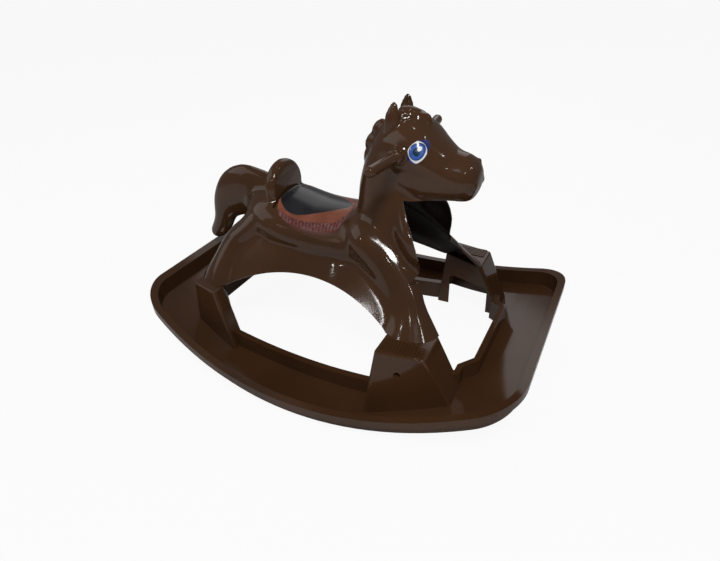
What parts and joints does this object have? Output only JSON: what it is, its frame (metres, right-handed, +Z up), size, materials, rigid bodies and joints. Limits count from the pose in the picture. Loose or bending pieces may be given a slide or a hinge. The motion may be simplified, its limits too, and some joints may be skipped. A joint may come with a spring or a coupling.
{
  "type": "rocking horse",
  "caption": "Moulded plastic child's rocking horse on a curved rocker tray, with side hand grips, a seat with a backrest, foot steps and printed decals.",
  "frame": {"origin": "on the floor under the middle of the rocker tray, centred between its sides", "axes": "+X is where the horse looks, +Y is its left side, +Z is up"},
  "size_m": [0.76, 0.561, 0.489],
  "materials": {
    "brown_plastic": "glossy moulded polypropylene, dark chocolate brown",
    "steel": "zinc-plated steel",
    "eye_film": "printed vinyl film, white with a blue iris",
    "saddle_film": "printed vinyl film, black seat with a copper border"
  },
  "bodies": {
    "root": {"rocker_tray": "brown_plastic", "horse_shell": "brown_plastic", "handle_left": "brown_plastic", "handle_right": "brown_plastic", "grip_screws": "steel", "grip_washers": "steel", "foot_screws": "steel", "eye_decal_left": "eye_film", "eye_decal_right": "eye_film", "saddle_decal": "saddle_film"}
  },
  "joints": []
}
